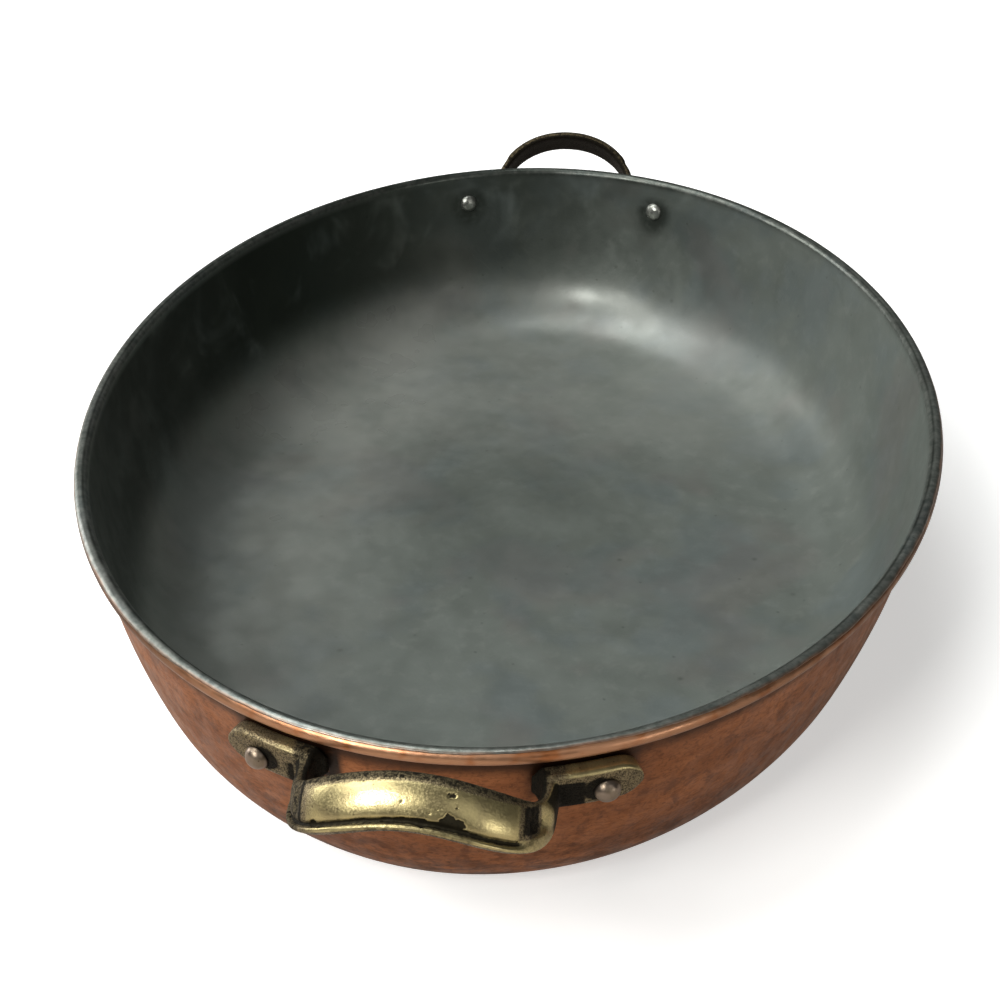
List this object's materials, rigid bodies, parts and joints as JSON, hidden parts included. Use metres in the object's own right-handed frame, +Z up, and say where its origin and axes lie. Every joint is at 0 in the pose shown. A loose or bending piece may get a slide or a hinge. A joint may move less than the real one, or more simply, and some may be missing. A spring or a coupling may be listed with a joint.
{
  "type": "gratin pan",
  "caption": "Oval copper gratin pan, tinned inside, with a wired rolled rim and riveted cast brass strap handles at both ends.",
  "frame": {"origin": "middle of the flat base, on the surface that the pan stands on", "axes": "+Z up, +Y along the pan from the front handle to the rear handle, +X across the pan"},
  "size_m": [0.286, 0.4562, 0.079],
  "materials": {
    "copper": "aged copper, brown patina with darker blotches, softly polished on the rim",
    "tin": "old wiped tin, dull grey with cloudy tarnish",
    "iron": "plain iron wire",
    "brass": "worn cast brass, pitted, polished on the grip and dark in the hollows",
    "rivet": "hammered copper rivet with a worn grey tin wipe"
  },
  "bodies": {
    "root": {"copper_body": "copper", "tin_lining": "tin", "rim_wire": "iron", "front_handle": "brass", "rear_handle": "brass", "rivet_front_left": "rivet", "rivet_front_right": "rivet", "rivet_rear_left": "rivet", "rivet_rear_right": "rivet"}
  },
  "joints": []
}
